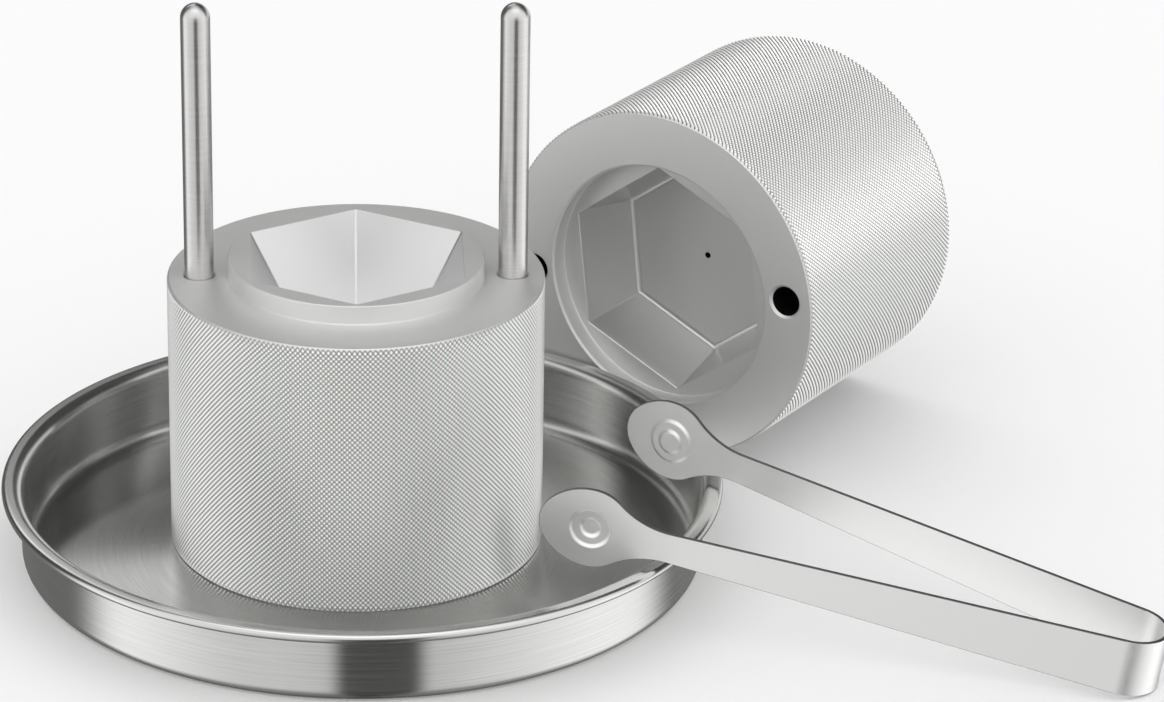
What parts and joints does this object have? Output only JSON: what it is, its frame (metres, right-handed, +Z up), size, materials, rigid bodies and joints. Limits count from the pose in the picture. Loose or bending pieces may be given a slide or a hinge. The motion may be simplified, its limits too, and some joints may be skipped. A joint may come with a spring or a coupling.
{
  "type": "ice press",
  "caption": "Ice press with knurled aluminium moulds, facing gem-shaped cavities, guide rods that align the upper mould, a round drip tray and sprung ice tongs.",
  "frame": {"origin": "middle of the drip tray's foot, on the table", "axes": "+Z up along the tray's axis and the guide rods, +X along the row of the two guide rods from left to right, +Y to the back"},
  "size_m": [0.2707, 0.2226, 0.1366],
  "materials": {
    "mould_aluminium": "knurled wall, satin turned faces",
    "rod_steel": "polished",
    "tray_steel": "brushed round",
    "tongs_steel": "satin"
  },
  "bodies": {
    "tray": {"drip_tray": "tray_steel"},
    "lower_mould": {"lower_mould": "mould_aluminium"},
    "left_rod": {"left_guide_rod": "rod_steel"},
    "right_rod": {"right_guide_rod": "rod_steel"},
    "upper_mould": {"upper_mould": "mould_aluminium"},
    "tongs_bow": {"tongs_bow": "tongs_steel"},
    "tongs_near_arm": {"tongs_near_arm": "tongs_steel"},
    "tongs_far_arm": {"tongs_far_arm": "tongs_steel"}
  },
  "joints": [
    {"name": "lower_mould_lift", "type": "slide", "parent": "tray", "child": "lower_mould", "axis": [0, 0, 1], "range_m": [0, 0.142]},
    {"name": "left_rod_pull", "type": "slide", "parent": "lower_mould", "child": "left_rod", "axis": [0, 0, 1], "range_m": [0, 0.021]},
    {"name": "right_rod_pull", "type": "slide", "parent": "lower_mould", "child": "right_rod", "axis": [0, 0, 1], "range_m": [0, 0.021]},
    {"name": "upper_mould_turn", "type": "hinge", "parent": "tray", "child": "upper_mould", "pos_m": [-0.03702, -0.02993, 0.07733], "axis": [0.909, -0.2351, 0.3441], "range_deg": [0, 97.72]},
    {"name": "tongs_lift", "type": "slide", "parent": "tray", "child": "tongs_bow", "axis": [0, 0, 1], "range_m": [0, 0.06]},
    {"name": "near_arm_squeeze", "type": "hinge", "parent": "tongs_bow", "child": "tongs_near_arm", "pos_m": [0.1743, -0.0742, 0.0084], "axis": [-0.1392, 0.0637, -0.9882], "range_deg": [0, 10.5], "stiffness_Nm_per_rad": 2},
    {"name": "far_arm_squeeze", "type": "hinge", "parent": "tongs_bow", "child": "tongs_far_arm", "pos_m": [0.1743, -0.0742, 0.0084], "axis": [0.1392, -0.0637, 0.9882], "range_deg": [0, 10.5], "stiffness_Nm_per_rad": 2}
  ],
  "couplings": [
    {"joint": "far_arm_squeeze", "follows": "near_arm_squeeze", "ratio": 1}
  ]
}
